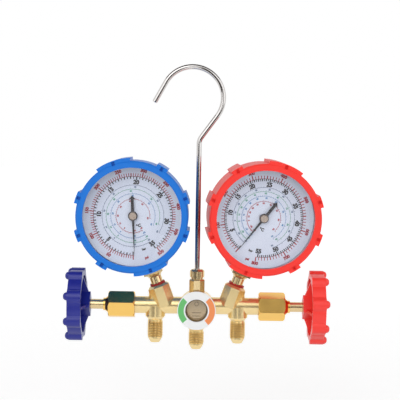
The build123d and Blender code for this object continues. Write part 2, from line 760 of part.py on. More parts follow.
def make_tube_tip(gauge):
    middle = TUBE_END_ANGLE - TIP_SPAN / 2
    inner = TUBE_RADIUS - TUBE_THICK / 2 - TIP_MARGIN
    outer = TUBE_RADIUS + TUBE_THICK / 2 + TIP_MARGIN
    low = TUBE_FRONT - TUBE_HEIGHT - TIP_MARGIN
    arm_back = TIP_ARM_FRONT - TIP_ARM_T
    with BuildPart() as tip:
        sector(gauge, low, TIP_ARM_FRONT, inner, outer, middle, TIP_SPAN)
        with BuildSketch(gauge.offset(arm_back)) as arm:
            root = (TUBE_RADIUS * cos(radians(middle)), TUBE_RADIUS * sin(radians(middle)))
            with BuildLine():
                line = Line(root, TIP_EYE)
            trace(line, line_width=TIP_ARM_W)
            with Locations(TIP_EYE):
                Circle(TIP_ARM_W / 2)
        extrude(arm.sketch, amount=TIP_ARM_T)
        rod(gauge_at(gauge, TIP_EYE), arm_back, TIP_ARM_FRONT, PIN_D + 2 * RUNNING, Mode.SUBTRACT)
    return tip


def gauge_at(gauge, place):
    """The gauge's frame moved to a place on its dial plane."""
    origin = gauge.from_local_coords((place[0], place[1], 0))
    return Plane(origin=origin, x_dir=gauge.x_dir, z_dir=gauge.z_dir)


def make_plate(gauge, back, foot):
    """A movement plate with the bearing holes of both arbors."""
    front = back + PLATE_T
    with BuildPart() as plate:
        with BuildSketch(gauge.offset(back)) as outline:
            with Locations((0, (PLATE_TOP - foot) / 2)):
                Rectangle(PLATE_W, PLATE_TOP + foot)
            chamfer(outline.vertices(), PLATE_CORNER)
            with Locations((0, 0)):
                Circle(ARBOR_D / 2 + RUNNING, mode=Mode.SUBTRACT)
            with Locations(SECTOR_PIVOT):
                Circle(SECTOR_ARBOR_D / 2 + RUNNING, mode=Mode.SUBTRACT)
        extrude(amount=PLATE_T)
    return plate


def make_rear_plate(gauge):
    """The plate that is screwed to the socket, with the pillars that carry the front one."""
    with BuildPart() as plate:
        add(make_plate(gauge, REAR_PLATE_BACK, REAR_PLATE_FOOT).part)
        with BuildSketch(gauge.offset(REAR_PLATE_FRONT)) as pillars:
            with Locations(*PILLAR_PLACES):
                Circle(PILLAR_D / 2)
        extrude(pillars.sketch, amount=FRONT_PLATE_BACK - REAR_PLATE_FRONT)
    return plate


def tooth(radius, angle, share, tip_share):
    """The outline of one gear tooth: root, pitch line and tip on each flank."""
    pitch = 360 * GEAR_MODULE / (2 * radius)
    root = radius - DEDENDUM * GEAR_MODULE
    tip = radius + ADDENDUM * GEAR_MODULE
    points = []
    for r, turn in ((root, -share), (radius, -share), (tip, -tip_share), (tip, tip_share),
                    (radius, share), (root, share)):
        at = radians(angle + turn * pitch / 2)
        points.append((r * cos(at), r * sin(at)))
    return points


def make_sector_gear(gauge):
    pivot = gauge_at(gauge, SECTOR_PIVOT)
    pitch = 360 / SECTOR_TEETH
    first = 90 + pitch
    last = first - (SECTOR_CUT_TEETH - 1) * pitch
    root = SECTOR_R - DEDENDUM * GEAR_MODULE
    middle = (first + last) / 2
    span = first - last + pitch
    with BuildPart() as sector_gear:
        sector(pivot, SECTOR_BACK, SECTOR_FRONT, SECTOR_INNER_R, root + SEATED, middle, span)
        with BuildSketch(pivot.offset(SECTOR_BACK)) as teeth:
            for index in range(SECTOR_CUT_TEETH):
                with BuildLine():
                    Polyline(*tooth(SECTOR_R, first - index * pitch, TOOTH_SHARE, TIP_SHARE),
                             close=True)
                make_face()
        extrude(teeth.sketch, amount=SECTOR_T)
        with BuildSketch(pivot.offset(SECTOR_BACK)) as web:
            with BuildLine():
                for angle in (first - pitch, last + pitch):
                    Line((0, 0), (root * cos(radians(angle)), root * sin(radians(angle))))
            trace(line_width=SECTOR_SPOKE_W)
            with BuildLine():
                tail = Line((0, 0), (TAIL_R * cos(radians(TAIL_ANGLE)),
                                     TAIL_R * sin(radians(TAIL_ANGLE))))
            trace(tail, line_width=SECTOR_SPOKE_W)
            Circle(SECTOR_HUB_D / 2)
            with Locations(tail @ 1):
                Circle(LINK_EYE_D / 2)
        extrude(web.sketch, amount=SECTOR_T)
        rod(pivot, REAR_PLATE_BACK + SEATED, DIAL_BACK - SEATED, SECTOR_ARBOR_D)
        eye = gauge_at(gauge, TAIL_EYE)
        rod(eye, SECTOR_FRONT, LINK_BACK + LINK_T + SEATED, PIN_D)
    return sector_gear


def make_link(gauge):
    with BuildPart() as link:
        with BuildSketch(gauge.offset(LINK_BACK)) as bar:
            with BuildLine():
                line = Line(TAIL_EYE, TIP_EYE)
            trace(line, line_width=LINK_W)
            with Locations(TAIL_EYE, TIP_EYE):
                Circle(LINK_EYE_D / 2)
            with Locations(TAIL_EYE, TIP_EYE):
                Circle(PIN_D / 2 + RUNNING, mode=Mode.SUBTRACT)
        extrude(bar.sketch, amount=LINK_T)
    return link


def make_pinion_arbor(gauge):
    with BuildPart() as arbor:
        end = POINTER_BACK + POINTER_T + ARBOR_GRIP - SEATED
        rod(gauge, REAR_PLATE_BACK + SEATED, end, ARBOR_D)
        root = PINION_R - DEDENDUM * GEAR_MODULE
        low = SECTOR_BACK - (PINION_L - SECTOR_T) / 2
        rod(gauge, low, low + PINION_L, 2 * root + SEATED)
        with BuildSketch(gauge.offset(low)) as teeth:
            for index in range(PINION_TEETH):
                angle = 360 / PINION_TEETH * (index + 0.5) - 90
                with BuildLine():
                    Polyline(*tooth(PINION_R, angle, PINION_SHARE, TIP_SHARE), close=True)
                make_face()
        extrude(teeth.sketch, amount=PINION_L)
    return arbor


# ---------------------------------------------------------------- pointer
def make_pointer(gauge, angle):
    """A blade with a long taper to the tip and a straight tail that ends in an arrow head."""
    with BuildPart() as pointer:
        with BuildSketch(gauge.offset(POINTER_BACK)) as blade:
            with BuildSketch(mode=Mode.PRIVATE) as straight:
                with BuildLine():
                    Polyline(
                        (POINTER_TIP, 0),
                        (0, POINTER_W / 2),
                        (0, TAIL_W / 2),
                        (ARROW_L - POINTER_TAIL, TAIL_W / 2),
                        (ARROW_L - POINTER_TAIL, ARROW_W / 2),
                        (-POINTER_TAIL, 0),
                        (ARROW_L - POINTER_TAIL, -ARROW_W / 2),
                        (ARROW_L - POINTER_TAIL, -TAIL_W / 2),
                        (0, -TAIL_W / 2),
                        (0, -POINTER_W / 2),
                        close=True,
                    )
                make_face()
                Circle(POINTER_BOSS_D / 2)
            add(straight.sketch, rotation=angle)
            Circle(ARBOR_D / 2 + SEATED, mode=Mode.SUBTRACT)
        extrude(blade.sketch, amount=POINTER_T)
    return pointer


def make_pointer_hub(gauge):
    base = POINTER_BACK + POINTER_T
    with BuildPart() as hub:
        rod(gauge, base, base + POINTER_HUB_H, POINTER_HUB_D)
        top = hub.faces().sort_by(Axis(gauge.origin, gauge.z_dir))[-1]
        chamfer(top.edges(), POINTER_HUB_H / 3)
        rod(gauge, base, base + ARBOR_GRIP, ARBOR_D + 2 * SEATED, Mode.SUBTRACT)
    return hub


# ---------------------------------------------------------------- the whole set
def build_gauge(prefix, gauge, pointer_angle):
    save(make_boot(gauge), prefix + "boot")
    save(make_case(gauge), prefix + "case")
    window = CASE_FRONT - LENS_T
    lens_d = CASE_D - 2 * CASE_WALL - 2 * SEATED
    save(make_disc(gauge, window, CASE_FRONT, lens_d), prefix + "lens")
    save(make_dial(gauge), prefix + "dial")
    save(make_pointer(gauge, pointer_angle), prefix + "pointer")
    save(make_pointer_hub(gauge), prefix + "pointer_hub")
    save(make_socket(gauge), prefix + "socket")
    save(make_bourdon_tube(gauge), prefix + "bourdon_tube")
    save(make_tube_tip(gauge), prefix + "tube_tip")
    save(make_link(gauge), prefix + "link")
    save(make_sector_gear(gauge), prefix + "sector_gear")
    save(make_pinion_arbor(gauge), prefix + "pinion_arbor")
    front = make_plate(gauge, FRONT_PLATE_BACK, FRONT_PLATE_FOOT)
    save(front, prefix + "movement_plate_front")
    save(make_rear_plate(gauge), prefix + "movement_plate_rear")


def build_valve(prefix, side, nut_turn, wheel_turn):
    save(make_bonnet_nut(side, nut_turn), prefix + "bonnet_nut")
    save(make_packing_ring(side), prefix + "packing_ring")
    save(make_seat_disc(side), prefix + "seat_disc")
    save(make_valve_stem(side), prefix + "valve_stem")
    save(make_handwheel(side, wheel_turn), prefix + "handwheel")
    save(make_wheel_screw(side), prefix + "wheel_screw")


save(make_hook_rod(), "hook_rod")
save(make_retaining_clip(), "hook_retaining_clip")
save(make_hook_fitting(), "hook_fitting")
save(make_cap_nut(), "hook_cap_nut")
save(make_manifold_body(), "manifold_body")

sight = sight_plane()
glass_front = SIGHT_FLOOR + SIGHT_LENS_T
save(make_disc(sight, SIGHT_FLOOR, glass_front, SIGHT_BORE_D), "sight_glass_lens")
save(
    make_ring(sight, glass_front, SIGHT_FRONT, SIGHT_BORE_D, SIGHT_WINDOW_D),
    "sight_glass_ring",
)
save(
    make_ring(sight, SIGHT_FRONT, SIGHT_FRONT + LABEL_T, LABEL_D, SIGHT_WINDOW_D),
    "label_disc",
)

build_valve("low_", -1, LOW_NUT_TURN, LOW_WHEEL_TURN)
build_valve("high_", 1, HIGH_NUT_TURN, HIGH_WHEEL_TURN)
build_gauge("low_", gauge_plane(-1, LOW_GAUGE_TURN), LOW_POINTER_ANGLE)
build_gauge("high_", gauge_plane(1, HIGH_GAUGE_TURN), HIGH_POINTER_ANGLE)
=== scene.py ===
"""Looks for the refrigerant manifold gauge: materials, printed dials, threads, light and camera.

Blender works in metres; sizes here are in millimetres unless a name says otherwise, and the
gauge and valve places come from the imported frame's joints and mounts.
"""
import json
from math import cos, exp, pi, radians, sin

import bpy
from mathutils import Matrix, Vector


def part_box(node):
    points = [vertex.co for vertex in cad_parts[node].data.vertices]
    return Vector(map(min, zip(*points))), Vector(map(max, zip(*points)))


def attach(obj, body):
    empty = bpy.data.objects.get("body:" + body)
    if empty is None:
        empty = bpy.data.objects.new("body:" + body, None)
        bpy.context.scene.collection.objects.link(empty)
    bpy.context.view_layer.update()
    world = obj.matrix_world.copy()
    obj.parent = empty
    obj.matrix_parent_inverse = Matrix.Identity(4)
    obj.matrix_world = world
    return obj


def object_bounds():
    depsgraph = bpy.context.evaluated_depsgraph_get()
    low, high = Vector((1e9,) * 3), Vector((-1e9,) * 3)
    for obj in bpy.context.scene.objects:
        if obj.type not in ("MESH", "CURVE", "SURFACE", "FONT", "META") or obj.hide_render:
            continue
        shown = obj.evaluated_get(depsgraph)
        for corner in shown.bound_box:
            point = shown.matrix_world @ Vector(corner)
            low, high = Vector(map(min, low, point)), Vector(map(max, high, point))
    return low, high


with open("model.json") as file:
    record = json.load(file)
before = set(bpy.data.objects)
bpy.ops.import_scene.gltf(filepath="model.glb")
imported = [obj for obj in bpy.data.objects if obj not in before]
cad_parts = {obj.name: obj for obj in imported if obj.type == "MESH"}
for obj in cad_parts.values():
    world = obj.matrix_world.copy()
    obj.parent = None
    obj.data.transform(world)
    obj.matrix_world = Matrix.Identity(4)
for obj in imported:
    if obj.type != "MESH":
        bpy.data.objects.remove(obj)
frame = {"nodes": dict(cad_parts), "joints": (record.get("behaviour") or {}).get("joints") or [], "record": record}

cad_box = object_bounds()

MM = 0.001
SIDES = ("low_", "high_")
JOINTS = {joint["name"]: joint for joint in frame["joints"]}
MOUNTS = {mount["name"]: mount for mount in frame["record"]["mounts"]}

# ---------------------------------------------------------------- sizes of what is made here
INK_LIFT = 0.04             # print above the dial's face
ZERO_ANGLE = 251.0          # where every scale starts, from the dial's own +x, degrees
SCALE_RADIUS = 30.0         # circle that both pressure scales stand on
RED_LINE = (0.0, 0.2)       # each scale's line, from that circle
BLACK_LINE = (-0.22, -0.02)
RED_TICK = (2.4, 3.4)       # lengths of plain and labelled ticks
BLACK_TICK = (1.8, 2.8)
TICK_WIDTH = (0.55, 0.85)   # plain and bold
RED_NUMBER_RADIUS = 35.0
RED_NUMBER_SIZE = 3.3
BLACK_NUMBER_RADIUS = 25.6
BLACK_NUMBER_SIZE = 4.3
BOLD = 0.065                # how far the letters are thickened, as a share of their height
FLIP_BELOW = -0.25          # numbers lower than this stand the other way up
COLDEST = -40               # where every temperature ring starts
RING_GROWTH = 1.7           # how much faster a ring runs when hot
RING_LINE_HALF = 0.15
RING_TICK = (0.6, 1.1)      # minor and major
RING_TICK_WIDTH = 0.26
RING_NUMBER_DROP = 1.45     # inside the ring's line
RING_NUMBER_SIZE = 1.7
# units: ink, words, place on the dial and size
UNIT_WORDS = (
    ("black", "°C", (1.6, -8.6, 0), 3.2),
    ("black", "bar", (-0.4, -26.6, 0), 2.4),
    ("red", "psi", (-0.6, -33.4, 0), 2.6),
)

BOSS_TOP = 56.5             # below the gauge's centre
NECK_RADIUS = 4.7
BEAD_POINTS = (48, 8)       # round the neck, and round the bead's own section
BEAD_GAP = 0.1              # from the neck
BEAD_HALF = (0.55, 0.85)    # half its width and half its height
BEAD_RISE = 0.75            # its middle above the boss
BEAD_WAVES = (0.28, 0.12)   # how far a broad and a fine wave swell it, as shares

THREAD_PITCH = 1.27
# height above the port, and place along one pitch as a share of it
THREAD_RIDGE = ((-0.05, -0.34), (0.5, -0.1), (0.5, 0.1), (-0.05, 0.34))
# the root strip: painted shade along the groove between the ridges
THREAD_ROOT = ((0.03, 0.35), (0.03, 0.65))
THREAD_STEPS = 28           # per turn

PIP_RADIUS = 3.14
PIP_HEIGHT = 3.0
PIP_CIRCLE = 24.95
PIP_COUNT = 8
PIP_POINTS = (24, 7)        # round a cap, and rings up to its top
PIP_SQUARENESS = 0.8        # 1 would be a plain dome
WHEEL_TURN = {"low_": 21.3, "high_": 30.9}  # where the first pip stands, degrees
WHEEL_FACE = 10.3           # rim's outer face from its inner one
PIP_SUNK = 0.05             # caps start so far inside the rim's face

LABEL_ARC = (9.7, 14.1)     # inner and outer radius of the colour arcs
GREEN_SPAN = (137, 223)     # degrees
ORANGE_SPAN = (-50, 45)
CHAMBER_FLOOR = 0.6         # in front of the bar's axis
CHAMBER_RADIUS = 7.4
DIMPLE_RING = (1.3, 1.75)   # inner and outer radius of the ring seen in the chamber
DIMPLE_RISE = 3.9           # above the middle of the glass
CHAMBER_LINES = (-2.95, -5.45)  # dark lines, below the middle
CHAMBER_LINE_HALF = (3.4, 0.25)  # half of each line's length and width


# ---------------------------------------------------------------- materials
NOISE_DETAIL = 3.0
GLASS_IOR = 1.45
DULL = {"Specular_IOR_Level": 0.25}


def linear(red, green, blue):
    """A display colour, 0 to 255, as the linear colour that a shader takes."""
    def channel(value):
        share = value / 255
        return share / 12.92 if share <= 0.04045 else ((share + 0.055) / 1.055) ** 2.4
    return (channel(red), channel(green), channel(blue), 1.0)


def material(name, colour, metallic=0.0, roughness=0.4, **inputs):
    """A plain Principled material; further sockets are given by name with _ for spaces."""
    made = bpy.data.materials.new(name)
    made.use_nodes = True
    shader = made.node_tree.nodes["Principled BSDF"]
    shader.inputs["Base Color"].default_value = linear(*colour)
    shader.inputs["Metallic"].default_value = metallic
    shader.inputs["Roughness"].default_value = roughness
    for socket, value in inputs.items():
        shader.inputs[socket.replace("_", " ")].default_value = value
    return made


def add_noise(made, scale, low, high, bump=0.0):
    """Uneven roughness between two values, and a faint relief of so many millimetres."""
    tree = made.node_tree
    shader = tree.nodes["Principled BSDF"]
    place = tree.nodes.new("ShaderNodeTexCoord")
    noise = tree.nodes.new("ShaderNodeTexNoise")
    noise.inputs["Scale"].default_value = scale
    noise.inputs["Detail"].default_value = NOISE_DETAIL
    spread = tree.nodes.new("ShaderNodeMapRange")
    spread.inputs["To Min"].default_value = low
    spread.inputs["To Max"].default_value = high
    tree.links.new(place.outputs["Object"], noise.inputs["Vector"])
    tree.links.new(noise.outputs["Fac"], spread.inputs["Value"])
    tree.links.new(spread.outputs["Result"], shader.inputs["Roughness"])
    if bump:
        relief = tree.nodes.new("ShaderNodeBump")
        relief.inputs["Strength"].default_value = 1.0
        relief.inputs["Distance"].default_value = bump * MM
        tree.links.new(noise.outputs["Fac"], relief.inputs["Height"])
        tree.links.new(relief.outputs["Normal"], shader.inputs["Normal"])
    return made


def window_glass(name, tint, roughness):
    """Clear glass that lets lamp light through to what lies behind it."""
    made = bpy.data.materials.new(name)
    made.use_nodes = True
    tree = made.node_tree
    shader = tree.nodes["Principled BSDF"]
    shader.inputs["Base Color"].default_value = linear(*tint)
    shader.inputs["Roughness"].default_value = roughness
    shader.inputs["IOR"].default_value = GLASS_IOR
    shader.inputs["Transmission Weight"].default_value = 1.0
    path = tree.nodes.new("ShaderNodeLightPath")
    clear = tree.nodes.new("ShaderNodeBsdfTransparent")
    mix = tree.nodes.new("ShaderNodeMixShader")
    output = tree.nodes["Material Output"]
    tree.links.new(path.outputs["Is Shadow Ray"], mix.inputs["Fac"])
    tree.links.new(shader.outputs["BSDF"], mix.inputs[1])
    tree.links.new(clear.outputs["BSDF"], mix.inputs[2])
    tree.links.new(mix.outputs["Shader"], output.inputs["Surface"])
    return made


chrome = add_noise(material("chrome", (206, 203, 201), 1.0, 0.12), 260, 0.08, 0.16)
forged_brass = add_noise(material("forged_brass", (238, 214, 158), 0.8, 0.24), 140, 0.2, 0.28)
# painted shade: darker brass for the thread's groove
root_painted_shade = add_noise(material("root_painted_shade", (166, 132, 78), 0.6, 0.4), 240, 0.34, 0.46)
thread_brass = add_noise(material("thread_brass", (238, 208, 142), 1.0, 0.2), 240, 0.16, 0.24)
nut_brass = add_noise(material("nut_brass", (242, 198, 110), 1.0, 0.2), 90, 0.18, 0.26)
turned_brass = add_noise(material("turned_brass", (224, 200, 152), 0.85, 0.18), 240, 0.14, 0.22)
case_metal = add_noise(material("case_metal", (214, 214, 222), 0.2, 0.4), 300, 0.34, 0.46)
steel = add_noise(material("steel", (176, 176, 178), 1.0, 0.3), 300, 0.24, 0.36)
hub_metal = add_noise(material("hub_metal", (164, 152, 136), 1.0, 0.3), 400, 0.24, 0.36)
bronze = add_noise(material("bronze", (196, 146, 96), 1.0, 0.3), 300, 0.26, 0.36)
packing = add_noise(material("packing", (38, 38, 40), 0.0, 0.7), 600, 0.6, 0.8, 0.01)
seat_plastic = add_noise(material("seat_plastic", (232, 230, 224), 0.0, 0.5), 400, 0.4, 0.55)
pointer_black = add_noise(material("pointer_black", (22, 22, 24), 0.0, 0.45), 500, 0.4, 0.5)
dial_white = add_noise(material("dial_white", (208, 218, 228), 0.0, 0.5), 90, 0.42, 0.55)
label_white = add_noise(material("label_white", (240, 242, 242), 0.0, 0.4), 200, 0.34, 0.44)
lens_glass = window_glass("lens_glass", (250, 248, 252), 0.02)
sight_glass = window_glass("sight_glass", (246, 244, 236), 0.03)
sealant_red = add_noise(material("sealant_red", (176, 26, 22), 0.0, 0.35), 500, 0.25, 0.5, 0.05)
# painted shade: the chamber floor seen through the sight glass, darker than its brass because little light reaches
# it
chamber_painted_shade = add_noise(material("chamber_painted_shade", (196, 176, 146), 0.0, 0.4), 220, 0.3, 0.5)
# a dark ring and two dark lines drawn on the chamber's painted-shade floor
chamber_dark = add_noise(material("chamber_dark", (104, 84, 68), 0.0, 0.5), 220, 0.4, 0.6)
INKS = {ink: material("ink_" + ink, colour, 0.0, 0.5) for ink, colour in (
    ("red", (158, 14, 34)), ("black", (6, 5, 8)), ("green", (64, 148, 122)),
    ("blue", (70, 128, 176)), ("slate", (78, 106, 136)))}
label_green = material("label_green", (104, 192, 112), 0.0, 0.4)
label_orange = material("label_orange", (242, 146, 86), 0.0, 0.4)
RUBBER = {
    side: add_noise(material(side + "rubber", colour, 0.0, 0.4, **DULL), 160, 0.34, 0.46, 0.006)
    for side, colour in zip(SIDES, ((26, 118, 216), (252, 60, 52)))
}
KNOB = {
    side: add_noise(material(side + "knob", colour, 0.0, 0.3), 120, 0.26, 0.36, 0.01)
    for side, colour in zip(SIDES, ((30, 38, 140), (250, 60, 52)))
}


def dress(node, made):
    """Give a CAD node one of the materials above."""
    mesh = frame["nodes"][node].data
    mesh.materials.clear()
    mesh.materials.append(made)


def dress_all():
    dress("hook_rod", chrome)
    dress("hook_retaining_clip", steel)
    dress("hook_fitting", turned_brass)
    dress("hook_cap_nut", turned_brass)
    dress("manifold_body", forged_brass)
    dress("sight_glass_lens", sight_glass)
    dress("sight_glass_ring", steel)
    dress("label_disc", label_white)
    for side in SIDES:
        dress(side + "boot", RUBBER[side])
        dress(side + "handwheel", KNOB[side])
        dress(side + "bonnet_nut", nut_brass)
        dress(side + "valve_stem", turned_brass)
        dress(side + "wheel_screw", steel)
        dress(side + "packing_ring", packing)
        dress(side + "seat_disc", seat_plastic)
        dress(side + "case", case_metal)
        dress(side + "lens", lens_glass)
        dress(side + "dial", dial_white)
        dress(side + "pointer", pointer_black)
        dress(side + "pointer_hub", hub_metal)
        dress(side + "socket", turned_brass)
        dress(side + "bourdon_tube", bronze)
        for node in ("tube_tip", "link", "sector_gear", "pinion_arbor",
                     "movement_plate_front", "movement_plate_rear"):
            dress(side + node, nut_brass)


# ---------------------------------------------------------------- places and meshes
def local_frame(origin, right, up):
    """A matrix from a place's own millimetres to the row frame in metres."""
    front = right.cross(up)
    turn = Matrix((right, up, front)).transposed().to_4x4()
    return Matrix.Translation(origin) @ turn @ Matrix.Scale(MM, 4)


def gauge_place(side):
    """Gauge frame: x right, y up the stem, z towards the user, from the gauge's two arbors."""
    pointer = JOINTS[side + "pointer_turn"]
    centre = Vector(pointer["pos_m"])
    front = -Vector(pointer["axis"])
    up = (centre - Vector(JOINTS[side + "sector_turn"]["pos_m"])).normalized()
    return local_frame(centre, up.cross(front), up)


def wheel_place(side):
    """Valve frame at the rim's inner face: z outwards along the stem."""
    valve = JOINTS[side + "valve_turn"]
    out = Vector(valve["axis"])
    right = Vector((0, -1, 0))
    return local_frame(Vector(valve["pos_m"]), right, out.cross(right))


def port_place(mount):
    """Port frame: z down the port, the middle of the thread at the origin."""
    down = Vector(mount["axis"])
    right = Vector((1, 0, 0))
    return local_frame(Vector(mount["pos_m"]), right, down.cross(right))


def face_place(low, high):
    """A front frame, x right and y up, from the bar's axis behind the middle of a box."""
    centre = Vector(((low.x + high.x) / 2, 0, (low.z + high.z) / 2))
    return local_frame(centre, Vector((1, 0, 0)), Vector((0, 0, 1)))


def front_of(node, place):
    """How far a node reaches along a place's own z, in millimetres."""
    inverse = place.inverted()
    return max((inverse @ vertex.co).z for vertex in frame["nodes"][node].data.vertices)


def make_piece(name, points, faces, place, made, body, smooth=False):
    """One mesh piece, given in a place's own millimetres, that rides on a CAD body."""
    mesh = bpy.data.meshes.new(name)
    mesh.from_pydata([place @ Vector(point) for point in points], [], faces)
    mesh.materials.append(made)
    mesh.validate()
    mesh.shade_smooth() if smooth else mesh.shade_flat()
    piece = bpy.data.objects.new(name, mesh)
    bpy.context.scene.collection.objects.link(piece)
    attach(piece, body)
    return piece


# ---------------------------------------------------------------- print
class Print:
    """Flat shapes in one colour on a plane, in the place's own millimetres."""

    def __init__(self, level):
        self.level = level
        self.points = []
        self.faces = []

    def shape(self, corners, faces=None):
        start = len(self.points)
        self.points += [(x, y, self.level) for x, y in corners]
        faces = faces or [range(len(corners))]
        self.faces += [[start + index for index in face] for face in faces]

    def arc(self, inner, outer, start, end, step=3.0):
        """A stretch of a ring, counter-clockwise from start to end in degrees."""
        count = max(2, round((end - start) / step))
        corners = []
        for index in range(count + 1):
            angle = radians(start + (end - start) * index / count)
            corners.append((inner * cos(angle), inner * sin(angle)))
            corners.append((outer * cos(angle), outer * sin(angle)))
        faces = [(2 * i, 2 * i + 1, 2 * i + 3, 2 * i + 2) for i in range(count)]
        self.shape(corners, faces)

    def tick(self, angle, inner, outer, width):
        along = Vector((cos(radians(angle)), sin(radians(angle))))
        across = Vector((-along.y, along.x)) * width / 2
        corners = (along * inner - across, along * outer - across,
                   along * outer + across, along * inner + across)
        self.shape([tuple(corner) for corner in corners])

    def text(self, words, radius, angle, size, place):
        """Words round a circle, the right way up for a reader standing in front."""
        at = Vector((radius * cos(radians(angle)), radius * sin(radians(angle)), 0))
        height = (place.to_3x3().normalized() @ at.normalized()).z
        turn = angle + 90 if height < FLIP_BELOW else angle - 90
        self.words(words, at, turn, size)

    def words(self, words, at, turn, size):
        curve = bpy.data.curves.new("words", "FONT")
        curve.body = words
        curve.size = size
        curve.offset = BOLD * size
        curve.align_x = "CENTER"
        curve.align_y = "CENTER"
        curve.resolution_u = 3
        holder = bpy.data.objects.new("words", curve)
        bpy.context.scene.collection.objects.link(holder)
        mesh = bpy.data.meshes.new_from_object(holder.evaluated_get(
            bpy.context.evaluated_depsgraph_get()))
        spin = Matrix.Translation(at) @ Matrix.Rotation(radians(turn), 4, "Z")
        corners = [spin @ vertex.co for vertex in mesh.vertices]
        self.shape([(c.x, c.y) for c in corners], [tuple(p.vertices) for p in mesh.polygons])
        bpy.data.objects.remove(holder)
        bpy.data.curves.remove(curve)
        bpy.data.meshes.remove(mesh)

    def finish(self, name, place, made, body, slot):
        return make_piece(name, self.points, self.faces, place, made, body)


def draw_scale(print_, place, scale, outwards, line, number_radius, size):
    """Line, ticks and numbers of one pressure scale from 0 to its top."""
    top, per_step, step, bold, minor = scale
    short, long = RED_TICK if outwards else BLACK_TICK
    way = 1 if outwards else -1
    count = round(top / minor)
    for index in range(count + 1):
        value = index * minor
        angle = ZERO_ANGLE - per_step * value / step
        length = long if index % round(step / minor) == 0 else short
        ends = sorted((SCALE_RADIUS, SCALE_RADIUS + way * length))
        print_.tick(angle, ends[0], ends[1], TICK_WIDTH[index % round(bold / minor) == 0])
    for index in range(1, round(top / step) + 1):
        angle = ZERO_ANGLE - per_step * index
        print_.text(str(round(index * step)), number_radius, angle, size, place)
    print_.arc(SCALE_RADIUS + line[0], SCALE_RADIUS + line[1],
               ZERO_ANGLE - top / step * per_step, ZERO_ANGLE)


def draw_temperature(print_, place, radius, start, end, hottest):
    """A ring of degrees, close together when cold and wide apart when hot."""
    print_.arc(radius - RING_LINE_HALF, radius + RING_LINE_HALF, end, start)
    for degrees in range(COLDEST, hottest + 1, 2):
        share = (degrees - COLDEST) / (hottest - COLDEST)
        grown = (exp(RING_GROWTH * share) - 1) / (exp(RING_GROWTH) - 1)
        angle = start + (end - start) * grown
        long = degrees % 10 == 0
        print_.tick(angle, radius, radius + RING_TICK[long], RING_TICK_WIDTH)
        if long and (degrees >= 0 or degrees % 20 == 0):
            print_.text(str(degrees), radius - RING_NUMBER_DROP, angle, RING_NUMBER_SIZE, place)


# dial by dial: each scale's top, degrees per labelled step, labelled step, bold step and
# smallest step, then where the temperature rings start and the hottest that they show
DIALS = {
    "low_": {"red": (500, 32.3, 50, 25, 5), "black": (35, 46.5, 5, 1, 0.5),
             "coldest_at": 284.0, "hottest": 60},
    "high_": {"red": (800, 41.4, 100, 50, 10), "black": (55, 29.9, 5, 1, 0.5),
              "coldest_at": 252.0, "hottest": 90},
}
# temperature rings: ink, radius, and where each ends
RINGS = (
    ("red", 12.8, -28.0),
    ("blue", 16.8, -44.0),
    ("green", 20.3, -38.0),
    ("slate", 23.4, -52.0),
)


def print_dial(side):
    place = gauge_place(side)
    level = front_of(side + "dial", place) + INK_LIFT
    sheets = {ink: Print(level) for ink in INKS}
    dial = DIALS[side]
    draw_scale(sheets["red"], place, dial["red"], True, RED_LINE,
               RED_NUMBER_RADIUS, RED_NUMBER_SIZE)
    draw_scale(sheets["black"], place, dial["black"], False, BLACK_LINE,
               BLACK_NUMBER_RADIUS, BLACK_NUMBER_SIZE)
    for ink, radius, end in RINGS:
        draw_temperature(sheets[ink], place, radius, dial["coldest_at"], end, dial["hottest"])
    for ink, words, at, size in UNIT_WORDS:
        sheets[ink].words(words, Vector(at), 0, size)
    for ink, sheet in sheets.items():
        sheet.finish(f"{side}dial_print_{ink}", place, INKS[ink], "manifold", "dial_white")


def print_label():
    low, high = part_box("label_disc")
    place = face_place(low, high)
    level = front_of("label_disc", place) + INK_LIFT
    inner, outer = LABEL_ARC
    green = Print(level)
    green.arc(inner, outer, *GREEN_SPAN)
    green.finish("label_low_arc", place, label_green, "manifold", "label_white")
    orange = Print(level)
    orange.arc(inner, outer, *ORANGE_SPAN)
    orange.finish("label_high_arc", place, label_orange, "manifold", "label_white")


def line_sight_chamber():
    """Painted shade of the chamber seen through the sight glass: a darker floor disc, with a dark ring and two
    dark lines on it.
    """
    low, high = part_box("sight_glass_lens")
    place = face_place(low, high)
    floor = Print(CHAMBER_FLOOR)
    floor.arc(0.01, CHAMBER_RADIUS, 0, 360, 10.0)
    # the floor disc in painted shade
    floor.finish("sight_chamber_shade_floor", place, chamber_painted_shade, "manifold", "manifold_brass")
    marks = Print(CHAMBER_FLOOR + INK_LIFT)
    marks.arc(*DIMPLE_RING, 0, 360, 12.0)
    marks.points = [(x, y + DIMPLE_RISE, z) for x, y, z in marks.points]
    half_w, half_h = CHAMBER_LINE_HALF
    for y in CHAMBER_LINES:
        marks.shape([(-half_w, y - half_h), (half_w, y - half_h),
                     (half_w, y + half_h), (-half_w, y + half_h)])
    marks.finish("sight_chamber_marks", place, chamber_dark, "manifold", "manifold_brass")


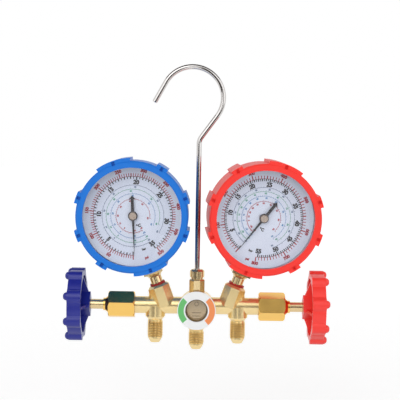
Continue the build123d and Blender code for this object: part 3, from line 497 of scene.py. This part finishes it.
# ---------------------------------------------------------------- threads, sealant and pips
def helix(name, profile, made, port):
    """A strip wound round a flare port: profile points are height and place along one pitch."""
    mount = MOUNTS[port]
    radius = mount["dims"]["r_mm"]
    length = mount["dims"]["length_mm"] - THREAD_PITCH
    turns = length / THREAD_PITCH
    count = round(turns * THREAD_STEPS)
    points = []
    faces = []
    for index in range(count + 1):
        share = index / count
        angle = 2 * pi * turns * share
        grown = min(1.0, share * turns, (1 - share) * turns)
        for height, shift in profile:
            r = radius + height * (grown if height > 0 else 1)
            level = (share - 0.5) * length + shift * THREAD_PITCH
            points.append((r * cos(angle), r * sin(angle), level))
    wide = len(profile)
    for index in range(count):
        at = wide * index
        faces += [(at + k, at + k + 1, at + k + 1 + wide, at + k + wide) for k in range(wide - 1)]
    if wide > 2:
        faces.append(tuple(reversed(range(wide))))
        faces.append(tuple(wide * count + k for k in range(wide)))
    make_piece(name, points, faces, port_place(mount), made, "manifold")


def thread_port(port):
    """The ridge of a flare port's thread, and beside it a darker root strip of painted shade in the groove."""
    helix(port + "_thread", THREAD_RIDGE, thread_brass, port)
    helix(port + "_thread_root", THREAD_ROOT, root_painted_shade, port)


def seal_neck(side):
    """The bead of thread sealant squeezed out round the neck at the top of its boss."""
    place = gauge_place(side)
    around, across = BEAD_POINTS
    broad, fine = BEAD_WAVES
    half_w, half_h = BEAD_HALF
    points = []
    faces = []
    for i in range(around):
        angle = 2 * pi * i / around
        swell = 1 + broad * sin(3 * angle + 0.7) * sin(5 * angle) + fine * sin(11 * angle)
        for j in range(across):
            turn = 2 * pi * j / across
            radius = NECK_RADIUS + BEAD_GAP + (half_w + half_w * cos(turn)) * swell
            level = -BOSS_TOP + BEAD_RISE * swell + half_h * sin(turn) * swell
            points.append((radius * cos(angle), level, radius * sin(angle)))
    for i in range(around):
        for j in range(across):
            a = i * across + j
            b = i * across + (j + 1) % across
            c = (i + 1) % around * across + (j + 1) % across
            d = (i + 1) % around * across + j
            faces.append((a, d, c, b))
    make_piece(side + "thread_sealant", points, faces, place, sealant_red, "manifold",
               smooth=True)


def round_pips(side):
    """The rounded caps of the handwheel's grip pips."""
    place = wheel_place(side)
    foot = WHEEL_FACE - PIP_SUNK
    around, rings = PIP_POINTS
    points = []
    faces = []
    for pip in range(PIP_COUNT):
        turn = radians(WHEEL_TURN[side] + 360 / PIP_COUNT * pip)
        middle = (PIP_CIRCLE * cos(turn), PIP_CIRCLE * sin(turn))
        start = len(points)
        for ring in range(rings):
            rise = pi / 2 * ring / rings
            radius = PIP_RADIUS * cos(rise) ** PIP_SQUARENESS
            level = foot + PIP_HEIGHT * sin(rise)
            for step in range(around):
                angle = 2 * pi * step / around
                points.append((middle[0] + radius * cos(angle), middle[1] + radius * sin(angle),
                               level))
        points.append((*middle, foot + PIP_HEIGHT))
        for ring in range(rings - 1):
            for step in range(around):
                a = start + ring * around + step
                b = start + ring * around + (step + 1) % around
                faces.append((a, b, b + around, a + around))
        last = start + (rings - 1) * around
        for step in range(around):
            faces.append((last + step, last + (step + 1) % around, len(points) - 1))
    make_piece(side + "wheel_pips", points, faces, place, KNOB[side], side + "handwheel",
               smooth=True)


# ---------------------------------------------------------------- floor, light and camera
FLOOR_DROP_M = 0.085        # floor below the object's lowest point
FLOOR_LEVEL_M = cad_box[0].z - FLOOR_DROP_M
FLOOR_HALF_M = 6.0
FLAG_LEVEL_M = FLOOR_LEVEL_M + 0.002  # cards that lie on the floor
FLOOR_GLOW = (0.4, 1.6, 0.38, 0.53)  # metres from the middle, then the glow's strength there
WORLD_STRENGTH = 0.55
FLAG_COLOUR = (44, 34, 24)
# dark cards: middle, width and height in metres, and the way they face
FLAGS = {
    "flag_top": ((0.0, 0.05, 0.55), (1.6, 0.7), (0, 0, -1)),
    "flag_front": ((0.0, -1.8, 0.3), (3.6, 1.3), (0, 1, 0)),
    "flag_floor_low": ((-0.935, -1.1, FLAG_LEVEL_M), (1.7, 1.4), (0, 0, 1)),
    "flag_floor_high": ((0.935, -1.1, FLAG_LEVEL_M), (1.7, 1.4), (0, 0, 1)),
}
# lamps: place, target and size in metres, then watts
LAMPS = {
    "key_lamp": ((-0.5, -1.3, 0.5), (0, 0, -0.1), 1.3, 7.0),
    "fill_lamp": ((0.8, -1.1, 0.2), (0, 0, -0.12), 1.3, 4.5),
}
IMAGE_CENTRE_M = Vector((0.0068, 0.0, -0.0994))
CAMERA_DISTANCE_M = 0.83
CAMERA_ELEVATION = 3.7      # degrees, as the next two
CAMERA_ROLL = 0.93
FIELD_OF_VIEW = 20.9


def background_rays(tree):
    """One for the rays that show the background: the camera's, and those of glass and metal."""
    path = tree.nodes.new("ShaderNodeLightPath")
    seen = path.outputs["Is Camera Ray"]
    for ray in ("Is Transmission Ray", "Is Glossy Ray"):
        either = tree.nodes.new("ShaderNodeMath")
        either.operation = "MAXIMUM"
        tree.links.new(seen, either.inputs[0])
        tree.links.new(path.outputs[ray], either.inputs[1])
        seen = either.outputs[0]
    return seen


def make_world():
    world = bpy.data.worlds.new("studio")
    bpy.context.scene.world = world
    world.use_nodes = True
    tree = world.node_tree
    light = tree.nodes["Background"]
    light.inputs["Color"].default_value = (1, 1, 1, 1)
    light.inputs["Strength"].default_value = WORLD_STRENGTH
    white = tree.nodes.new("ShaderNodeBackground")
    white.inputs["Color"].default_value = (1, 1, 1, 1)
    white.inputs["Strength"].default_value = 1.0
    mix = tree.nodes.new("ShaderNodeMixShader")
    tree.links.new(background_rays(tree), mix.inputs["Fac"])
    tree.links.new(light.outputs["Background"], mix.inputs[1])
    tree.links.new(white.outputs["Background"], mix.inputs[2])
    tree.links.new(mix.outputs["Shader"], tree.nodes["World Output"].inputs["Surface"])


def square(name, half_w, half_h, level=0.0):
    mesh = bpy.data.meshes.new(name)
    corners = [(-half_w, -half_h, level), (half_w, -half_h, level), (half_w, half_h, level),
               (-half_w, half_h, level)]
    mesh.from_pydata(corners, [], [(0, 1, 2, 3)])
    return mesh


def make_floor():
    """A pale floor that keeps the shadow and glows to white further out."""
    mesh = square("floor", FLOOR_HALF_M, FLOOR_HALF_M, FLOOR_LEVEL_M)
    made = material("floor_white", (244, 244, 244), 0.0, 0.9)
    tree = made.node_tree
    glow = tree.nodes.new("ShaderNodeEmission")
    place = tree.nodes.new("ShaderNodeTexCoord")
    distance = tree.nodes.new("ShaderNodeVectorMath")
    distance.operation = "LENGTH"
    spread = tree.nodes.new("ShaderNodeMapRange")
    for socket, value in zip(("From Min", "From Max", "To Min", "To Max"), FLOOR_GLOW):
        spread.inputs[socket].default_value = value
    tree.links.new(place.outputs["Object"], distance.inputs[0])
    tree.links.new(distance.outputs["Value"], spread.inputs["Value"])
    tree.links.new(spread.outputs["Result"], glow.inputs["Strength"])
    dark = tree.nodes.new("ShaderNodeEmission")
    dark.inputs["Strength"].default_value = 0.0
    mix = tree.nodes.new("ShaderNodeMixShader")
    both = tree.nodes.new("ShaderNodeAddShader")
    tree.links.new(background_rays(tree), mix.inputs["Fac"])
    tree.links.new(dark.outputs["Emission"], mix.inputs[1])
    tree.links.new(glow.outputs["Emission"], mix.inputs[2])
    tree.links.new(tree.nodes["Principled BSDF"].outputs["BSDF"], both.inputs[0])
    tree.links.new(mix.outputs["Shader"], both.inputs[1])
    tree.links.new(both.outputs["Shader"], tree.nodes["Material Output"].inputs["Surface"])
    mesh.materials.append(made)
    floor = bpy.data.objects.new("floor", mesh)
    bpy.context.scene.collection.objects.link(floor)


def make_flag(name, centre, size, facing):
    """A dark card that only reflections see, to shape the light in the metal."""
    mesh = square(name, size[0] / 2, size[1] / 2)
    mesh.materials.append(material(name, FLAG_COLOUR, 0.0, 0.9))
    flag = bpy.data.objects.new(name, mesh)
    flag.location = centre
    flag.rotation_mode = "QUATERNION"
    flag.rotation_quaternion = Vector(facing).to_track_quat("Z", "Y")
    flag.visible_camera = False
    flag.visible_diffuse = False
    flag.visible_shadow = False
    flag.visible_transmission = False
    bpy.context.scene.collection.objects.link(flag)


def make_lamp(name, place, target, size, power):
    light = bpy.data.lights.new(name, "AREA")
    light.shape = "DISK"
    light.size = size
    light.energy = power
    lamp = bpy.data.objects.new(name, light)
    lamp.location = place
    away = Vector(target) - Vector(place)
    lamp.rotation_mode = "QUATERNION"
    lamp.rotation_quaternion = away.to_track_quat("-Z", "Y")
    bpy.context.scene.collection.objects.link(lamp)


def make_camera():
    camera = bpy.data.objects.new("camera", bpy.data.cameras.new("camera"))
    tilt = radians(CAMERA_ELEVATION)
    back = Vector((0, -cos(tilt), sin(tilt)))
    camera.location = IMAGE_CENTRE_M + back * CAMERA_DISTANCE_M
    level = (-back).to_track_quat("-Z", "Y").to_matrix().to_4x4()
    roll = Matrix.Rotation(radians(CAMERA_ROLL), 4, "Z")
    camera.matrix_world = Matrix.Translation(camera.location) @ level @ roll
    camera.data.angle = radians(FIELD_OF_VIEW)
    camera.data.clip_start = 0.01
    bpy.context.scene.collection.objects.link(camera)
    bpy.context.scene.camera = camera


dress_all()
for side in SIDES:
    print_dial(side)
    seal_neck(side)
    round_pips(side)
print_label()
line_sight_chamber()
for port in ("low_side_port", "high_side_port", "service_port"):
    thread_port(port)

make_world()
make_floor()
for name, flag in FLAGS.items():
    make_flag(name, *flag)
for name, lamp in LAMPS.items():
    make_lamp(name, *lamp)
make_camera()
bpy.context.scene.view_settings.view_transform = "Standard"
